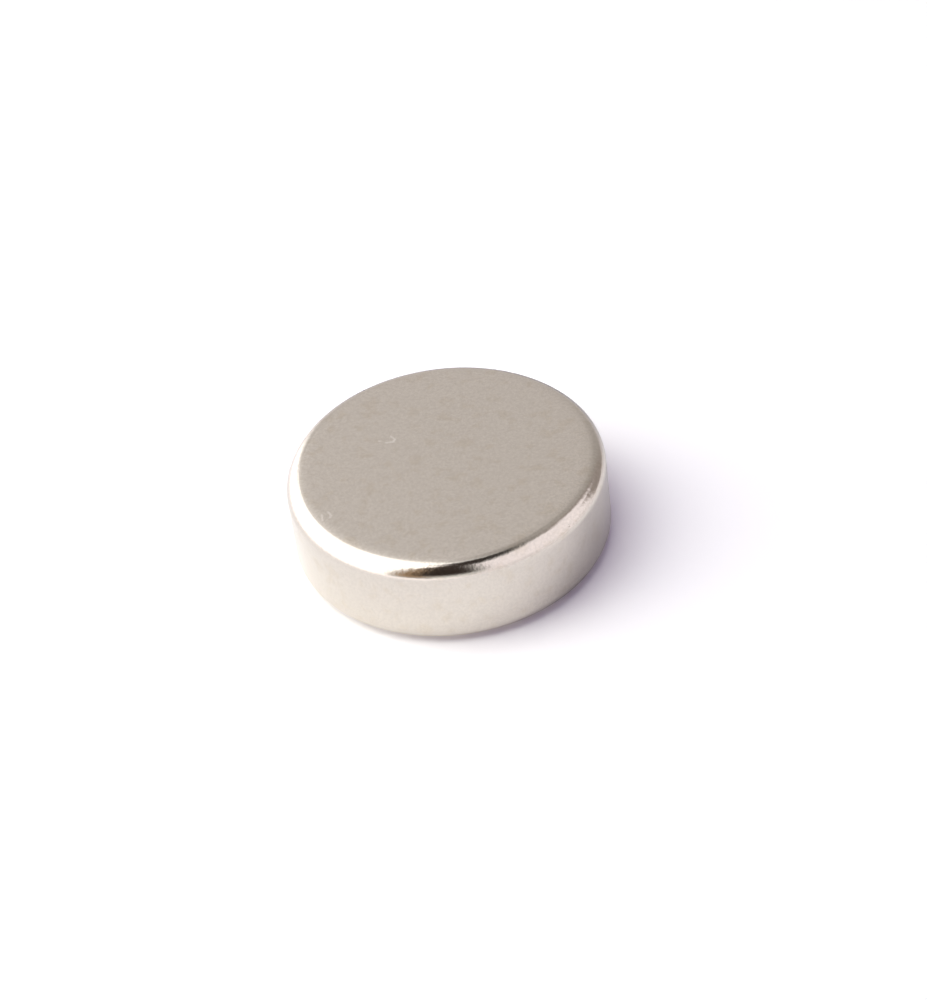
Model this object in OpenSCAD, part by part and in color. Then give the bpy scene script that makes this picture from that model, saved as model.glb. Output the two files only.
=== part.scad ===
// Disc magnet: one solid puck, magnetised through its thickness, with both edges rounded over.
// The origin is the centre of the lower face, and +Z runs along the axis to the upper face.

/* [Disc] */
// Diameter across the rim (mm)
disc_diameter = 10; // [4:0.5:30]
// Thickness from the lower face to the upper face (mm)
disc_thickness = 3; // [1.5:0.25:10]

/* [Edges] */
// Radius of the rounded edge between each face and the rim (mm)
edge_radius = 0.45; // [0.1:0.05:0.6]

/* [Hidden] */
// Segments in a full circle
$fn = 96;
rim_radius = disc_diameter / 2;
// Where the flat faces end and the rounded edges begin
face_radius = rim_radius - edge_radius;

// Half of the section through the axis, from the axis out to the rim. Each corner is a true
// arc, tangent to the flat face on one side of it and to the straight rim on the other.
module half_section() {
    square([face_radius, disc_thickness]);
    translate([0, edge_radius])
        square([rim_radius, disc_thickness - 2 * edge_radius]);
    for (corner_height = [edge_radius, disc_thickness - edge_radius])
        translate([face_radius, corner_height])
            circle(edge_radius);
}

// The whole magnet: the section turned once round the axis
module magnet() {
    color("#C3B8AD")
        rotate_extrude()
            half_section();
}

magnet();
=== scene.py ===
"""A nickel-plated disc magnet lying on a white table under a small tent of light.

One puck is modelled over its CAD solid and plated, then set on the table, lit and framed.
Lengths are in metres and angles in degrees unless a name or a comment says otherwise, and +Z
runs along the disc's axis.
"""

import logging
import math
from dataclasses import dataclass
from typing import Callable, Sequence

import bmesh
import bpy
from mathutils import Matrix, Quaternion, Vector


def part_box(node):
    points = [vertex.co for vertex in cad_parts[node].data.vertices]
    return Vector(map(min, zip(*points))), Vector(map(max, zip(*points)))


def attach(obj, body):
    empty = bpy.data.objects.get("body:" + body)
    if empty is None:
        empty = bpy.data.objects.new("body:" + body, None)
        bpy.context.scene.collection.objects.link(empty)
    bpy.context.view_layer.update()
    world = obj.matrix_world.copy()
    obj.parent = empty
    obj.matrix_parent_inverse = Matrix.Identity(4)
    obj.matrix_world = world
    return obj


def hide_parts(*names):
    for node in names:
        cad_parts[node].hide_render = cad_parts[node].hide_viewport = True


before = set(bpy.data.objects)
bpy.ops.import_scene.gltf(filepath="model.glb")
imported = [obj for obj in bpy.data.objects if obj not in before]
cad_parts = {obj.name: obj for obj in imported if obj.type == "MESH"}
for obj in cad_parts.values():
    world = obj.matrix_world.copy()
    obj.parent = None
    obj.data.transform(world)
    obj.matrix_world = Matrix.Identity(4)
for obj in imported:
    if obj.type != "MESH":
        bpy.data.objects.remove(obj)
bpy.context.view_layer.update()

LOG = logging.getLogger("magnet")
MM = 0.001
# Points nearer than this lie in the same place
TINY = 0.001 * MM

Number = float | int
# Red, green and blue in linear light
Colour = tuple[float, float, float]
# Two ends: where a mask is 0 and where it is 1, or where a card starts and where it ends
Span = tuple[float, float]


# ---------------------------------------------------------------------------------------
# Shader maths
# ---------------------------------------------------------------------------------------


@dataclass(frozen=True)
class Bench:
    """The node tree of one material or world, and the ways to add nodes to it."""

    tree: bpy.types.NodeTree

    def node(self, kind: str, settings: dict | None = None, **sockets: object) -> bpy.types.Node:
        """Adds any node.

        Args:
            kind: the node's type, such as "ShaderNodeTexNoise".
            settings: the node's own settings, which are set before its sockets.
            sockets: a value or a link for each named socket, with _ for a space.

        Returns:
            The new node.
        """
        made = self.tree.nodes.new(kind)
        for name, value in (settings or {}).items():
            setattr(made, name, value)
        for name, value in sockets.items():
            socket = self.find(made, name)
            if isinstance(value, Value):
                self.tree.links.new(value.socket, socket)
            elif isinstance(value, bpy.types.NodeSocket):
                self.tree.links.new(value, socket)
            else:
                socket.default_value = value
        return made

    def find(self, node: bpy.types.Node, name: str) -> bpy.types.NodeSocket:
        """Finds an input socket.

        Args:
            node: the node that has it.
            name: the socket's name with _ for a space, or "in_" and its number.

        Returns:
            The input socket.
        """
        if name.startswith("in_"):
            return node.inputs[int(name.removeprefix("in_"))]
        return node.inputs[name.replace("_", " ")]

    def math(self, operation: str, *terms: "Value | Number", clamp: bool = False) -> "Value":
        """Adds a Math node.

        Args:
            operation: the node's operation, such as "ARCTAN2".
            terms: its one to three inputs.
            clamp: whether the result is held between 0 and 1.

        Returns:
            The result.
        """
        sockets = {f"in_{place}": term for place, term in enumerate(terms)}
        made = self.node("ShaderNodeMath", {"operation": operation, "use_clamp": clamp}, **sockets)
        return Value(self, made.outputs[0])

    def ramp(self, value: "Value", start: float, end: float) -> "Value":
        """Turns a value into a smooth mask.

        Args:
            value: what is measured.
            start: where the mask is 0.
            end: where the mask is 1, which may be below start.

        Returns:
            The mask, which eases from 0 to 1.
        """
        made = self.node("ShaderNodeMapRange", {"interpolation_type": "SMOOTHSTEP", "clamp": True},
                         in_0=value, in_1=start, in_2=end, in_3=0.0, in_4=1.0)
        return Value(self, made.outputs[0])

    def mix(self, how: str, mask: "Value | Number", low: "Tint", high: "Tint") -> "Value":
        """Adds a Mix node for colours.

        Args:
            how: the node's blend type, such as "MULTIPLY".
            mask: 0 for the first colour alone and 1 for the whole effect of the second.
            low: the first colour.
            high: the second colour.

        Returns:
            The mixed colour.
        """
        # Inputs 6 and 7 and output 2 are the node's colours. The others are for plain values.
        made = self.node("ShaderNodeMix", {"data_type": "RGBA", "blend_type": how},
                         in_0=mask, in_6=opaque(low), in_7=opaque(high))
        return Value(self, made.outputs[2])

    def blend(self, mask: "Value", low: "Tint", high: "Tint") -> "Value":
        """Goes from one colour to another as the mask goes from 0 to 1."""
        return self.mix("MIX", mask, low, high)

    def tint(self, colour: "Value", other: "Tint") -> "Value":
        """Multiplies two colours."""
        return self.mix("MULTIPLY", 1.0, colour, other)

    def grey(self, level: "Value") -> "Value":
        """Turns a value into a neutral colour.

        Args:
            level: the colour's level.

        Returns:
            The colour.
        """
        made = self.node("ShaderNodeCombineColor", in_0=level, in_1=level, in_2=level)
        return Value(self, made.outputs[0])

    def cover(self, mask: "Value | bpy.types.NodeSocket", below: bpy.types.Node,
              above: bpy.types.Node) -> bpy.types.Node:
        """Lays one shader over another.

        Args:
            mask: 0 for the shader below and 1 for the one above.
            below: the node of the shader below.
            above: the node of the shader above.

        Returns:
            The node of the mixed shader.
        """
        return self.node("ShaderNodeMixShader",
                         in_0=mask, in_1=below.outputs[0], in_2=above.outputs[0])


@dataclass(frozen=True)
class Value:
    """A shader socket that can stand in a Python expression."""

    bench: Bench
    socket: bpy.types.NodeSocket

    def __add__(self, other: "Value | Number") -> "Value":
        """Adds."""
        return self.bench.math("ADD", self, other)

    __radd__ = __add__

    def __sub__(self, other: "Value | Number") -> "Value":
        """Subtracts."""
        return self.bench.math("SUBTRACT", self, other)

    def __rsub__(self, other: Number) -> "Value":
        """Subtracts from a number."""
        return self.bench.math("SUBTRACT", other, self)

    def __mul__(self, other: "Value | Number") -> "Value":
        """Multiplies."""
        return self.bench.math("MULTIPLY", self, other)

    __rmul__ = __mul__

    def __truediv__(self, other: Number) -> "Value":
        """Divides by a number."""
        return self.bench.math("DIVIDE", self, other)

    def __abs__(self) -> "Value":
        """Drops the sign."""
        return self.bench.math("ABSOLUTE", self)


Tint = Colour | Value


def opaque(colour: Tint) -> Value | tuple[float, ...]:
    """Gives a plain colour its alpha, and leaves a link as it is."""
    return (*colour, 1.0) if isinstance(colour, tuple) else colour


def grey(level: float) -> Colour:
    """Gives a neutral colour."""
    return (level, level, level)


def empty_bench(owner: "bpy.types.Material | bpy.types.World") -> Bench:
    """Clears the nodes of a material or world.

    Args:
        owner: the material or world.

    Returns:
        Its bench.
    """
    owner.use_nodes = True
    owner.node_tree.nodes.clear()
    return Bench(owner.node_tree)


def new_material(name: str) -> tuple[bpy.types.Material, Bench]:
    """Starts an empty material.

    Args:
        name: the material's name.

    Returns:
        The material and its bench.
    """
    material = bpy.data.materials.new(name)
    return material, empty_bench(material)


def object_axes(bench: Bench) -> tuple[bpy.types.NodeSocket, Value, Value, Value]:
    """Reads the object coordinates.

    Args:
        bench: the tree to add the nodes to.

    Returns:
        The whole vector, then x, y and z.
    """
    place = bench.node("ShaderNodeTexCoord").outputs["Object"]
    split = bench.node("ShaderNodeSeparateXYZ", Vector=place)
    return place, *(Value(bench, split.outputs[axis]) for axis in "XYZ")


def axis_distance(x: Value, y: Value) -> Value:
    """Measures how far a point lies from the disc's axis, in metres."""
    return x.bench.math("SQRT", x * x + y * y)


def axis_bearing(x: Value, y: Value) -> Value:
    """Measures a point's bearing round the disc's axis, in degrees from -180 to 180."""
    return x.bench.math("ARCTAN2", y, x) * math.degrees(1.0)


# ---------------------------------------------------------------------------------------
# Finishes
# ---------------------------------------------------------------------------------------


@dataclass(frozen=True)
class Pattern:
    """A soft random pattern: how far its blotches lie apart, and how many finer layers it has."""

    spacing: float
    layers: float

    def draw(self, bench: Bench, place: bpy.types.NodeSocket) -> Value:
        """Adds the pattern.

        Args:
            bench: the material's bench.
            place: the coordinates that the pattern follows.

        Returns:
            The pattern, from about 0 to 1 and 0.5 on average.
        """
        made = bench.node("ShaderNodeTexNoise", Vector=place, Scale=1.0 / self.spacing,
                          Detail=self.layers)
        return Value(bench, made.outputs["Fac"])


@dataclass(frozen=True)
class Scratch:
    """One straight stroke of a scratch on the upper face. Places and widths are in millimetres."""

    start: tuple[float, float]
    end: tuple[float, float]
    width: float
    strength: float

    def mask(self, bench: Bench, place: bpy.types.NodeSocket, height: float) -> Value:
        """Masks the stroke.

        Args:
            bench: the material's bench.
            place: the object coordinates.
            height: the face's height above the table.

        Returns:
            The stroke's strength along its middle, and 0 outside its width.
        """
        start = Vector((*self.start, height / MM)) * MM
        along = Vector((*self.end, height / MM)) * MM - start
        # The share of the stroke where each point is nearest to it, and how far away that is
        away = bench.node("ShaderNodeVectorMath", {"operation": "SUBTRACT"}, in_0=place, in_1=start)
        dot = bench.node("ShaderNodeVectorMath", {"operation": "DOT_PRODUCT"},
                         in_0=away.outputs[0], in_1=along / along.length_squared)
        share = bench.math("MULTIPLY", Value(bench, dot.outputs["Value"]), 1.0, clamp=True)
        foot = bench.node("ShaderNodeVectorMath", {"operation": "SCALE"}, in_0=along, Scale=share)
        gap = bench.node("ShaderNodeVectorMath", {"operation": "DISTANCE"},
                         in_0=away.outputs[0], in_1=foot.outputs[0])
        return bench.ramp(Value(bench, gap.outputs["Value"]), self.width * MM, 0.0) * self.strength


@dataclass(frozen=True)
class NickelPlate:
    """Bright nickel over a tumbled blank with ground faces: satin faces, and a brighter rim.

    The grain covers the whole disc and goes from its low colour to its high one between two of its
    levels. The fleck stains the plate a little between its own. The peel is the ripple that
    tumbling left on the rounded edges, and it is full at peel_start outside a face. The wall's own
    roughness takes over between the two depths of wall_depth, measured from the nearer face.
    """

    face_radius: float
    thickness: float
    low_grain: Colour = (0.636, 0.585, 0.516)
    high_grain: Colour = (0.694, 0.639, 0.564)
    stain: Colour = (0.96, 0.945, 0.915)
    bare: Colour = (0.93, 0.88, 0.81)
    face_roughness: float = 0.23
    edge_roughness: float = 0.13
    wall_roughness: float = 0.24
    grain_roughness: float = 0.05
    grain: Pattern = Pattern(spacing=0.085 * MM, layers=2.0)
    grain_height: float = 0.0010 * MM
    grain_levels: Span = (0.25, 0.75)
    peel: Pattern = Pattern(spacing=0.13 * MM, layers=4.0)
    peel_height: float = 0.0045 * MM
    peel_start: float = 0.16 * MM
    fleck: Pattern = Pattern(spacing=0.45 * MM, layers=3.0)
    fleck_levels: Span = (0.50, 0.72)
    rim_blur: float = 0.01 * MM
    wall_depth: Span = (0.20 * MM, 0.50 * MM)
    scratches: tuple[Scratch, ...] = (
        Scratch(start=(-1.93, 1.45), end=(-1.90, 1.44), width=0.070, strength=0.45),
        Scratch(start=(-1.72, 1.32), end=(-1.50, 1.32), width=0.060, strength=0.50),
        Scratch(start=(-1.50, 1.32), end=(-1.43, 1.42), width=0.070, strength=0.60),
        Scratch(start=(-1.43, 1.42), end=(-1.55, 1.61), width=0.055, strength=0.50),
        Scratch(start=(-3.94, -1.67), end=(-3.93, -1.91), width=0.055, strength=0.45),
        Scratch(start=(-3.73, -1.58), end=(-3.66, -1.76), width=0.060, strength=0.50),
        Scratch(start=(-3.66, -1.76), end=(-3.70, -1.85), width=0.060, strength=0.50),
    )

    def make(self) -> bpy.types.Material:
        """Builds the material.

        Returns:
            The nickel finish.
        """
        material, bench = new_material("nickel_plate")
        place, x, y, z = object_axes(bench)
        from_axis = axis_distance(x, y)
        face, half = self.face_radius, self.thickness / 2
        rim = bench.ramp(from_axis, face - self.rim_blur, face + self.rim_blur)
        rippled = bench.ramp(from_axis, face, face + self.peel_start)
        wall = bench.ramp(abs(z - half), *(half - depth for depth in self.wall_depth))
        grain = self.grain.draw(bench, place)
        peel = self.peel.draw(bench, place)
        stained = bench.ramp(self.fleck.draw(bench, place), *self.fleck_levels)
        rippled = rippled * (1.0 - wall)
        height = grain * self.grain_height + peel * rippled * self.peel_height
        bump = bench.node("ShaderNodeBump", Strength=1.0, Distance=1.0, Height=height)
        roughness = self.face_roughness + (grain - 0.5) * self.grain_roughness
        roughness = roughness + rim * (self.edge_roughness - self.face_roughness)
        roughness = roughness + wall * (self.wall_roughness - self.edge_roughness)
        colour = bench.blend(bench.ramp(grain, *self.grain_levels), self.low_grain, self.high_grain)
        colour = bench.tint(colour, bench.blend(stained, grey(1.0), self.stain))
        colour = bench.blend(self.scratched(bench, place), colour, self.bare)
        metal = bench.node("ShaderNodeBsdfPrincipled", Base_Color=colour, Roughness=roughness,
                           Metallic=1.0, Normal=bump.outputs[0])
        bench.node("ShaderNodeOutputMaterial", Surface=metal.outputs[0])
        return material

    def scratched(self, bench: Bench, place: bpy.types.NodeSocket) -> Value:
        """Masks all the scratches.

        Args:
            bench: the material's bench.
            place: the object coordinates.

        Returns:
            The strongest scratch at each point, and 0 away from them.
        """
        mask: Value | float = 0.0
        for scratch in self.scratches:
            mask = bench.math("MAXIMUM", mask, scratch.mask(bench, place, self.thickness))
        return mask


@dataclass(frozen=True)
class TableTop:
    """Matt white board that looks white where nothing shades it, and clear from below.

    The first three values are how much of the light on the board comes back: to the scene, to
    the eye and to the polished metal. The shades are painted shade that only the metal sees on
    the board, on top of its real shadow: close to the disc, a little further to its right, and
    behind it. The glows are painted light that only the metal sees on the board: its far parts
    on either side, and the part that the disc lies on. For the eye, the board fades to plain
    white far from the disc.
    """

    bounced: float = 0.90
    seen: float = 1.24
    mirrored: Colour = (1.19, 1.21, 1.235)

    # Painted shade, seen only in the metal: a patch of the board close to the disc's right front
    near_shade: float = 0.62
    near_reach: Span = (7.2 * MM, 5.0 * MM)
    near_left: Span = (0.0, 3.5 * MM)
    near_back: Span = (1.0 * MM, -3.5 * MM)
    near_front: Span = (-6.0 * MM, -3.5 * MM)

    # Painted shade, seen only in the metal: a patch a little further to the disc's right
    right_shade: float = 0.83
    right_inside: Span = (4.2 * MM, 6.0 * MM)
    right_outside: Span = (10.5 * MM, 7.5 * MM)
    right_front: Span = (-4.5 * MM, -1.5 * MM)

    # Painted shade, seen only in the metal: a patch behind the disc
    back_shade: float = 0.46
    back_inside: Span = (3.0 * MM, 7.0 * MM)
    back_outside: Span = (200.0 * MM, 12.0 * MM)
    back_right_degrees: Span = (5.0, 68.0)
    back_left_degrees: Span = (125.0, 105.0)

    # Painted light, seen only in the metal: the board glows far out on either side and where the
    # disc lies
    right_glow: Colour = (1.08, 1.03, 1.09)
    left_glow: Colour = (1.62, 1.54, 1.60)
    glow_change: Span = (10.0 * MM, -10.0 * MM)
    glow_outside: Span = (7.0 * MM, 30.0 * MM)
    glow_under: Span = (4.72 * MM, 4.62 * MM)
    white_outside: Span = (25.0 * MM, 60.0 * MM)

    def make(self) -> bpy.types.Material:
        """Builds the material.

        Returns:
            The white table finish.
        """
        material, bench = new_material("white_table")
        _, x, y, _ = object_axes(bench)
        path = bench.node("ShaderNodeLightPath").outputs
        to_eye = Value(bench, path["Is Camera Ray"])
        in_metal = Value(bench, path["Is Glossy Ray"]) + Value(bench, path["Is Transmission Ray"])
        from_axis = axis_distance(x, y)
        # Painted shade on the board, used only where the metal reflects it
        painted_shade = bench.grey(self.painted_shade(x, y))
        white = bench.blend(to_eye, grey(self.bounced), grey(self.seen))
        white = bench.blend(in_metal, white, bench.tint(painted_shade, self.mirrored))
        board = bench.node("ShaderNodeBsdfDiffuse", Color=white)
        # Painted light: the board glows in the metal's reflection, brighter on the left, far out
        # and under the disc
        glow = bench.blend(bench.ramp(x, *self.glow_change), self.right_glow, self.left_glow)
        lit = bench.node("ShaderNodeEmission", Color=bench.tint(painted_shade, glow), Strength=1.0)
        painted_light_mask = bench.math("MAXIMUM", bench.ramp(from_axis, *self.glow_under),
                             bench.ramp(from_axis, *self.glow_outside))
        board = bench.cover(in_metal * painted_light_mask, board, lit)
        plain = bench.node("ShaderNodeEmission", Strength=1.0)
        board = bench.cover(to_eye * bench.ramp(from_axis, *self.white_outside), board, plain)
        from_below = bench.node("ShaderNodeNewGeometry").outputs["Backfacing"]
        board = bench.cover(from_below, board, bench.node("ShaderNodeBsdfTransparent"))
        bench.node("ShaderNodeOutputMaterial", Surface=board.outputs[0])
        return material

    def painted_shade(self, x: Value, y: Value) -> Value:
        """Maps the painted shade on the board, which only the metal sees.

        Args:
            x: the distance to the right of the axis.
            y: the distance behind the axis.

        Returns:
            How much of the light is left, from 0 to 1.
        """
        ramp = x.bench.ramp
        near = ramp(axis_distance(x, y), *self.near_reach) * ramp(x, *self.near_left)
        near = near * ramp(y, *self.near_back) * ramp(y, *self.near_front)
        right = ramp(x, *self.right_inside) * ramp(x, *self.right_outside)
        right = right * ramp(y, *self.right_front)
        around = axis_bearing(x, y)
        back = ramp(y, *self.back_inside) * ramp(y, *self.back_outside)
        back = back * ramp(around, *self.back_right_degrees) * ramp(around, *self.back_left_degrees)
        # Painted shade: what the three patches leave of the board's light in the metal's view
        kept = (1.0 - near * (1.0 - self.near_shade)) * (1.0 - right * (1.0 - self.right_shade))
        return kept * (1.0 - back * (1.0 - self.back_shade))


# ---------------------------------------------------------------------------------------
# The magnet
# ---------------------------------------------------------------------------------------


@dataclass(frozen=True)
class Dent:
    """A small dent or burr: the surface round a place is pushed. All in millimetres."""

    place: tuple[float, float, float]
    push: tuple[float, float, float]
    reach: float

    def press(self, piece: bpy.types.Object) -> None:
        """Pushes the nearest point, and the surface round it in a soft falloff.

        Args:
            piece: the closed disc.
        """
        place = Vector(self.place) * MM
        nearest = min((point.co for point in piece.data.vertices),
                      key=lambda point: (point - place).length).copy()
        with_points(piece, lambda point: (point - nearest).length < TINY)
        bpy.ops.transform.translate(
            value=Vector(self.push) * MM, use_proportional_edit=True,
            proportional_edit_falloff="SMOOTH", proportional_size=self.reach * MM)
        bpy.ops.object.mode_set(mode="OBJECT")


@dataclass
class Puck:
    """The whole magnet: a turned disc whose rounded edges were ground off flat at both faces.

    Each edge is an arc of edge_width by edge_depth in steps of arc_step degrees, and the grinding
    took the last crease_steps of it. The face's border falls away by roll_drop over roll_width,
    and inside that lies a flat ring of land_width. An angle of more than sharp_share of
    the crease's is shaded sharp.
    """

    radius: float
    thickness: float
    edge_width: float = 0.475 * MM
    edge_depth: float = 0.50 * MM
    arc_step: float = 2.5
    crease_steps: int = 3
    sharp_share: float = 0.6
    roll_width: float = 0.32 * MM
    roll_drop: float = 0.012 * MM
    roll_steps: int = 6
    wall_bands: int = 8
    sides: int = 720
    land_width: float = 0.06 * MM
    # A nick at the right end of the bright edge, and a pit nearer the front
    dents: tuple[Dent, ...] = (
        Dent(place=(4.22, -2.36, 2.860), push=(-0.0021, 0.0012, -0.0026), reach=0.09),
        Dent(place=(3.50, -3.49, 2.750), push=(-0.0150, 0.0150, -0.0105), reach=0.085),
    )

    @property
    def face_radius(self) -> float:
        """The radius of each face, out to its crease."""
        return self.radius - self.edge_width

    @property
    def crease(self) -> float:
        """The angle in radians between a face and the start of its rounded edge."""
        return math.radians(self.arc_step * self.crease_steps)

    def build(self) -> bpy.types.Object:
        """Models the disc, dresses it and puts it in the place of its CAD solid.

        Returns:
            The finished piece.
        """
        piece = self.draw_edge()
        self.draw_roll(piece)
        self.draw_other_edge(piece)
        self.draw_wall(piece)
        self.turn(piece)
        self.close_faces(piece)
        for dent in self.dents:
            dent.press(piece)
        self.smooth(piece)
        self.dress(piece)
        return piece

    def draw_edge(self) -> bpy.types.Object:
        """Draws the outline of the upper rounded edge, from the wall to where the face is ground.

        Returns:
            The new piece, which has nothing but that arc.
        """
        wide = self.edge_width / (1.0 - math.sin(self.crease))
        deep = (self.edge_depth - self.roll_drop) / math.cos(self.crease)
        middle = Vector((self.radius - wide, 0.0, self.thickness - self.edge_depth))
        bpy.ops.object.select_all(action="DESELECT")
        bpy.ops.mesh.primitive_circle_add(vertices=round(360.0 / self.arc_step), radius=wide,
                                          location=middle, rotation=(math.pi / 2, 0.0, 0.0))
        piece = bpy.context.active_object
        piece.name = "plated_disc"
        bpy.ops.object.transform_apply(location=True, rotation=True, scale=True)
        with_points(piece, lambda point: True)
        bpy.ops.transform.resize(value=(1.0, 1.0, deep / wide), center_override=middle)
        left, bottom = self.face_radius - TINY, middle.z - TINY
        with_points(piece, lambda point: point.x < left or point.z < bottom)
        bpy.ops.mesh.delete(type="VERT")
        bpy.ops.object.mode_set(mode="OBJECT")
        return piece

    def draw_roll(self, piece: bpy.types.Object) -> None:
        """Draws the face's border inwards from the arc, where grinding let it fall away a little.

        Args:
            piece: the outline so far.
        """
        for step in range(self.roll_steps):
            inner = min(point.co.x for point in piece.data.vertices) + TINY
            left = 1.0 - step / self.roll_steps
            # The fall grows with the square of the distance from the flat part of the face
            rise = self.roll_drop * (left ** 2 - (left - 1.0 / self.roll_steps) ** 2)
            with_points(piece, lambda point: point.x < inner)
            bpy.ops.mesh.extrude_region_move(
                TRANSFORM_OT_translate={"value": (-self.roll_width / self.roll_steps, 0.0, rise)})
            bpy.ops.object.mode_set(mode="OBJECT")

    def draw_other_edge(self, piece: bpy.types.Object) -> None:
        """Copies the outline so far to the lower edge, upside down.

        Args:
            piece: the outline so far.
        """
        with_points(piece, lambda point: True)
        bpy.ops.mesh.duplicate()
        bpy.ops.transform.resize(value=(1.0, 1.0, -1.0),
                                 center_override=(0.0, 0.0, self.thickness / 2))
        bpy.ops.object.mode_set(mode="OBJECT")

    def draw_wall(self, piece: bpy.types.Object) -> None:
        """Joins the two arcs by a straight wall in several bands.

        Args:
            piece: the outline so far.
        """
        half = self.thickness / 2
        reach = half - self.edge_depth + TINY
        with_points(piece, lambda point: abs(point.z - half) < reach)
        bpy.ops.mesh.edge_face_add()
        bpy.ops.mesh.subdivide(number_cuts=self.wall_bands - 1)
        bpy.ops.object.mode_set(mode="OBJECT")

    def turn(self, piece: bpy.types.Object) -> None:
        """Turns the outline once round the axis.

        Args:
            piece: the outline, which becomes a band with both faces open.
        """
        with_points(piece, lambda point: True)
        bpy.ops.mesh.spin(steps=self.sides, angle=math.tau,
                          center=(0.0, 0.0, 0.0), axis=(0.0, 0.0, 1.0))
        bpy.ops.mesh.select_all(action="SELECT")
        bpy.ops.mesh.remove_doubles(threshold=TINY)
        bpy.ops.object.mode_set(mode="OBJECT")

    def close_faces(self, piece: bpy.types.Object) -> None:
        """Fills both faces and sets a narrow flat ring inside each one's edge.

        Args:
            piece: the open band.
        """
        rim = self.face_radius - self.roll_width + TINY
        for height in (0.0, self.thickness):
            with_points(piece, lambda point: point.xy.length < rim and abs(point.z - height) < TINY)
            bpy.ops.mesh.edge_face_add()
            bpy.ops.mesh.inset(thickness=self.land_width)
            bpy.ops.object.mode_set(mode="OBJECT")
        with_points(piece, lambda point: True)
        bpy.ops.mesh.normals_make_consistent(inside=False)
        bpy.ops.object.mode_set(mode="OBJECT")

    def smooth(self, piece: bpy.types.Object) -> None:
        """Shades the surface smoothly, but for the crease round each face.

        Args:
            piece: the closed disc.
        """
        bpy.ops.object.shade_smooth_by_angle(angle=self.sharp_share * self.crease)
        weight = piece.modifiers.new("weight", "WEIGHTED_NORMAL")
        weight.mode = "FACE_AREA"
        weight.keep_sharp = True
        bpy.ops.object.modifier_apply(modifier=weight.name)

    def dress(self, piece: bpy.types.Object) -> None:
        """Args:
            piece: the shaped disc.
        """
        piece.data.materials.clear()
        piece.data.materials.append(NickelPlate(self.face_radius, self.thickness).make())
        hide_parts("magnet")
        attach(piece, "root")


def start_editing(piece: bpy.types.Object, kind: str) -> bmesh.types.BMesh:
    """Enters edit mode with nothing selected.

    Args:
        piece: the object to edit.
        kind: what can be selected, "VERT" for points or "FACE" for faces.

    Returns:
        The mesh that is being edited.
    """
    bpy.context.view_layer.objects.active = piece
    bpy.ops.object.mode_set(mode="EDIT")
    bpy.ops.mesh.select_mode(type=kind)
    bpy.ops.mesh.select_all(action="DESELECT")
    return bmesh.from_edit_mesh(piece.data)


def with_points(piece: bpy.types.Object, wanted: Callable[[Vector], bool]) -> None:
    """Enters edit mode with some of a piece's points selected.

    Args:
        piece: the object to edit.
        wanted: says from a point's place whether it is selected.
    """
    mesh = start_editing(piece, "VERT")
    for point in mesh.verts:
        point.select_set(wanted(point.co))
    mesh.select_flush_mode()
    bmesh.update_edit_mesh(piece.data)


def with_faces(piece: bpy.types.Object, wanted: Callable[[Vector], bool]) -> None:
    """Enters edit mode with some of a piece's faces selected.

    Args:
        piece: the object to edit.
        wanted: says from the place of a face's middle whether it is selected.
    """
    mesh = start_editing(piece, "FACE")
    for face in mesh.faces:
        face.select_set(wanted(face.calc_center_median()))
    bmesh.update_edit_mesh(piece.data)


# ---------------------------------------------------------------------------------------
# The studio
# ---------------------------------------------------------------------------------------


@dataclass(frozen=True)
class Card:
    """One card of the light tent, as the disc sees it.

    Its sides are bearings round the axis and its ends are elevations, all in degrees. The blur
    is half the width of its soft borders, first at the sides and then at the ends.
    """

    name: str
    glow: Colour
    sides: Span
    ends: Span
    blur: tuple[float, float]

    def mask(self, around: Value, up: Value) -> Value:
        """Masks the card's patch of the dome.

        Args:
            around: the bearing in degrees, from -180 to 180.
            up: the elevation in degrees.

        Returns:
            1 inside the card and 0 outside it, with soft borders.
        """
        bench = around.bench
        right, left = self.sides
        bottom, top = self.ends
        side_blur, end_blur = self.blur
        half = (left - right) / 2
        aside = bench.math("WRAP", around - (right + left) / 2, 180.0, -180.0)
        across = bench.ramp(abs(aside), half + side_blur, half - side_blur)
        above = bench.ramp(up, bottom - end_blur, bottom + end_blur)
        below = bench.ramp(up, top + end_blur, top - end_blur)
        return across * above * below


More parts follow.
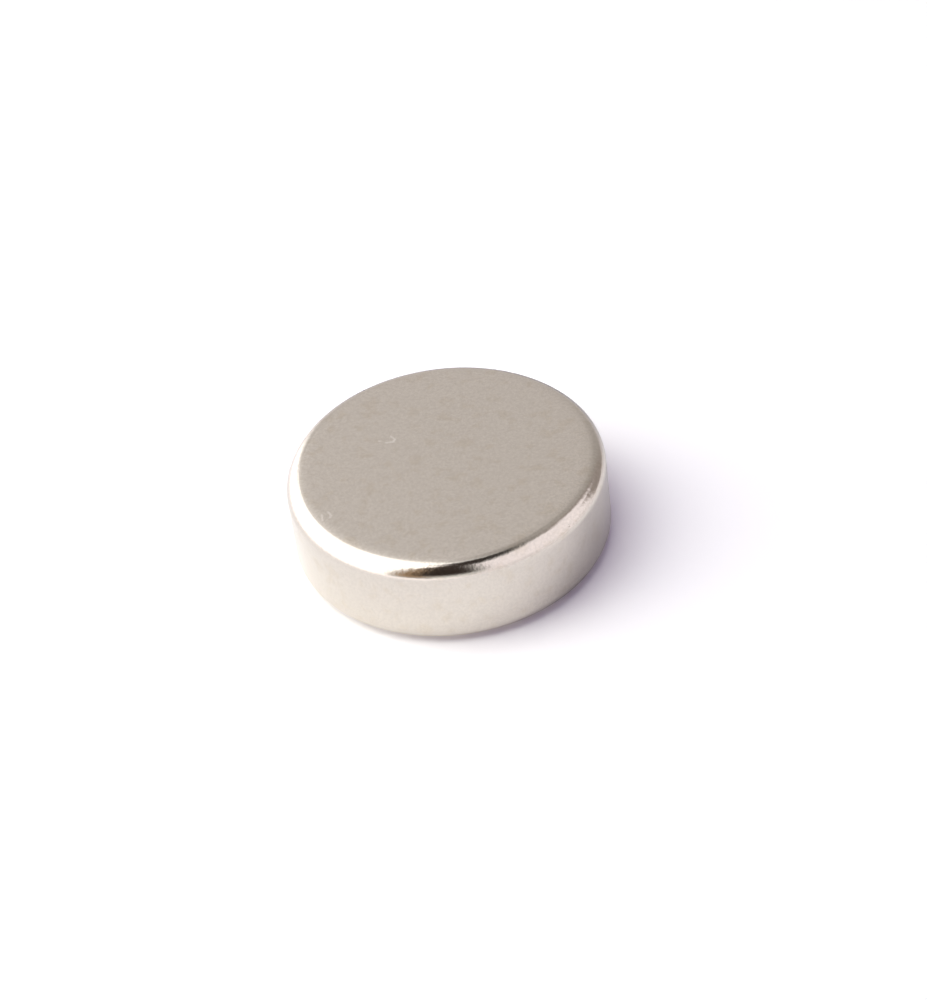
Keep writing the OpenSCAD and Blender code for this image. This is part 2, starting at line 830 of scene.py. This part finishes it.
@dataclass
class LightTent:
    """A dome of cards that only the polished metal mirrors. It ends a little below the table.

    Each glow is the colour and brightness of the cards that take it.
    """

    radius: float = 0.25
    rings: int = 48
    skirt_degrees: float = 12.0
    grey_glow: Colour = (0.70, 0.672, 0.672)
    dim_glow: Colour = (0.49, 0.465, 0.455)
    dark_glow: Colour = (0.40, 0.355, 0.345)
    panel_glow: Colour = (1.24, 1.18, 1.26)
    foot_glow: Colour = (1.08, 1.03, 1.09)
    roof_glow: Colour = (0.040, 0.033, 0.031)
    wall_glow: Colour = (2.10, 2.07, 2.10)
    side_glow: Colour = (2.00, 1.97, 2.00)
    brown_glow: Colour = (0.54, 0.37, 0.235)
    gap_glow: Colour = (0.042, 0.030, 0.025)

    def cards(self) -> list[Card]:
        """Lists the cards from the back to the front, where each covers those before it."""
        return [
            Card("grey_wall", self.grey_glow, sides=(13, 116), ends=(-20, 74), blur=(8, 10)),
            Card("dim_wall", self.dim_glow, sides=(0, 69), ends=(0, 68), blur=(21, 8)),
            Card("dim_top", self.dim_glow, sides=(40, 84), ends=(48, 74), blur=(6, 6)),
            Card("dark_corner", self.dark_glow, sides=(0, 44), ends=(1, 62), blur=(10, 8)),
            Card("front_panel", self.panel_glow, sides=(-75, 14), ends=(-20, 70), blur=(6, 7)),
            Card("panel_corner", self.panel_glow, sides=(-75, 30), ends=(33, 57), blur=(6, 6)),
            Card("panel_foot", self.foot_glow, sides=(-82, 14), ends=(-20, 10), blur=(6, 8)),
            Card("roof_gap", self.roof_glow, sides=(-110, 64), ends=(69, 100), blur=(18, 7)),
            Card("bright_wall", self.wall_glow, sides=(111, 226), ends=(-20, 100), blur=(5, 4)),
            Card("bright_shoulder", self.side_glow, sides=(107, 130), ends=(34, 100), blur=(3, 4)),
            Card("bright_corner", self.side_glow, sides=(99.5, 130), ends=(49, 100), blur=(5.5, 5)),
            Card("brown_shoulder", self.brown_glow, sides=(222, 240), ends=(56, 90), blur=(5, 5)),
            Card("brown_edge", self.brown_glow, sides=(226, 252), ends=(4, 84), blur=(8, 10)),
            Card("camera_gap", self.gap_glow, sides=(238, 284), ends=(15, 96), blur=(10, 12)),
            Card("gap_shoulder", self.gap_glow, sides=(228, 262), ends=(62, 98), blur=(6, 6)),
            Card("zenith_gap", self.gap_glow, sides=(-200, 200), ends=(83, 100), blur=(4, 4)),
        ]

    def build(self) -> None:
        """Models and lights the dome."""
        bpy.ops.object.select_all(action="DESELECT")
        bpy.ops.mesh.primitive_uv_sphere_add(segments=2 * self.rings, ring_count=self.rings,
                                             radius=self.radius)
        dome = bpy.context.active_object
        dome.name = "light_tent"
        lowest = -self.radius * math.sin(math.radians(self.skirt_degrees))
        with_faces(dome, lambda middle: middle.z < lowest)
        bpy.ops.mesh.delete(type="FACE")
        bpy.ops.object.mode_set(mode="OBJECT")
        dome.data.materials.append(self.skin())
        for ray in ("camera", "diffuse", "shadow", "transmission", "volume_scatter"):
            setattr(dome, f"visible_{ray}", False)
        LOG.info("%s: %s", dome.name, ", ".join(card.name for card in self.cards()))

    def skin(self) -> bpy.types.Material:
        """Builds the dome's material: the cards glow, and the rest is clear.

        Returns:
            The material.
        """
        material, bench = new_material("tent_cards")
        _, x, y, z = object_axes(bench)
        around = axis_bearing(x, y)
        up = bench.math("ARCSINE", z / self.radius) * math.degrees(1.0)
        glow = grey(0.0)
        covered: Value | float = 0.0
        for card in self.cards():
            mask = card.mask(around, up)
            glow = bench.blend(mask, glow, card.glow)
            covered = bench.math("MAXIMUM", covered, mask)
        light = bench.node("ShaderNodeEmission", Color=glow, Strength=1.0)
        skin = bench.cover(covered, bench.node("ShaderNodeBsdfTransparent"), light)
        bench.node("ShaderNodeOutputMaterial", Surface=skin.outputs[0])
        return material


@dataclass
class Studio:
    """The table, the light tent, the key lamp and the world round the magnet."""

    table_size: float = 0.8
    table_gap: float = 0.002 * MM
    key_bearing: float = 172.0
    key_elevation: float = 49.0
    key_distance: float = 0.20
    key_width: float = 0.203
    key_height: float = 0.47
    key_glow: Colour = (2.77, 2.79, 2.52)
    fill_glow: Colour = (0.125, 0.093, 0.205)

    def build(self) -> None:
        """Sets up everything round the magnet."""
        self.lay_table()
        LightTent().build()
        self.hang_key()
        self.fill_world()

    def lay_table(self) -> None:
        """Lays the white table just under the disc."""
        bpy.ops.object.select_all(action="DESELECT")
        bpy.ops.mesh.primitive_plane_add(size=self.table_size, location=(0.0, 0.0, -self.table_gap))
        table = bpy.context.active_object
        table.name = "table"
        table.data.materials.append(TableTop().make())

    def hang_key(self) -> None:
        """Hangs the tall soft lamp that leans over the disc from the left."""
        toward = direction(self.key_bearing, self.key_elevation)
        strength = max(self.key_glow)
        data = bpy.data.lights.new("key", "AREA")
        data.shape = "RECTANGLE"
        data.size = self.key_width
        data.size_y = self.key_height
        data.color = [part / strength for part in self.key_glow]
        # Its power is spread over its whole face, so a larger face takes more for the same glow
        data.energy = strength * math.pi * self.key_width * self.key_height
        lamp = bpy.data.objects.new("key", data)
        lamp.location = toward * self.key_distance
        lamp.rotation_mode = "QUATERNION"
        lamp.rotation_quaternion = toward.to_track_quat("Z", "Y")
        lamp.visible_camera = False
        lamp.visible_glossy = False
        bpy.context.scene.collection.objects.link(lamp)

    def fill_world(self) -> None:
        """Makes the world white to look at, and a soft cool fill for everything it lights."""
        world = bpy.data.worlds.new("studio")
        bench = empty_bench(world)
        path = bench.node("ShaderNodeLightPath").outputs
        seen = Value(bench, path["Is Camera Ray"]) + Value(bench, path["Is Glossy Ray"])
        seen = seen + Value(bench, path["Is Transmission Ray"])
        colour = bench.blend(seen, self.fill_glow, grey(1.0))
        sky = bench.node("ShaderNodeBackground", Color=colour, Strength=1.0)
        bench.node("ShaderNodeOutputWorld", Surface=sky.outputs[0])
        bpy.context.scene.world = world


def direction(around: float, up: float) -> Vector:
    """Points in a direction.

    Args:
        around: degrees round from +X towards +Y.
        up: degrees above the table.

    Returns:
        The unit vector that points there.
    """
    flat = math.cos(math.radians(up))
    return Vector((flat * math.cos(math.radians(around)), flat * math.sin(math.radians(around)),
                   math.sin(math.radians(up))))


@dataclass
class Camera:
    """A long lens that looks down on the disc from the front, tipped a little to one side."""

    target: Vector
    distance: float = 96.2 * MM
    bearing: float = -90.0
    elevation: float = 40.72
    roll: float = 8.15
    lens_mm: float = 110.6
    sensor_mm: float = 36.0
    shift_right: float = 0.0140
    shift_up: float = -0.0018
    nearest: float = 1.0 * MM
    farthest: float = 10.0

    def place(self) -> None:
        """Makes the camera and puts it in use."""
        back = direction(self.bearing, self.elevation)
        data = bpy.data.cameras.new("camera")
        data.lens = self.lens_mm
        data.sensor_width = self.sensor_mm
        data.shift_x = self.shift_right
        data.shift_y = self.shift_up
        data.clip_start = self.nearest
        data.clip_end = self.farthest
        camera = bpy.data.objects.new("camera", data)
        camera.location = self.target + back * self.distance
        camera.rotation_mode = "QUATERNION"
        tilt = Quaternion((0.0, 0.0, 1.0), -math.radians(self.roll))
        camera.rotation_quaternion = back.to_track_quat("Z", "Y") @ tilt
        bpy.context.scene.collection.objects.link(camera)
        bpy.context.scene.camera = camera


def main() -> None:
    """Builds the magnet and its studio."""
    logging.basicConfig(level=logging.INFO, format="%(name)s: %(message)s")
    bpy.context.scene.view_settings.view_transform = "Standard"
    low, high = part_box("magnet")
    puck = Puck(radius=max(*high.xy, *-low.xy), thickness=high.z - low.z)
    disc = puck.build()
    LOG.info("%s: %.2f mm across, %.2f mm thick, %d faces", disc.name, 2 * puck.radius / MM,
             puck.thickness / MM, len(disc.data.polygons))
    Studio().build()
    Camera(target=Vector((0.0, 0.0, puck.thickness / 2))).place()


if __name__ == "__main__":
    main()
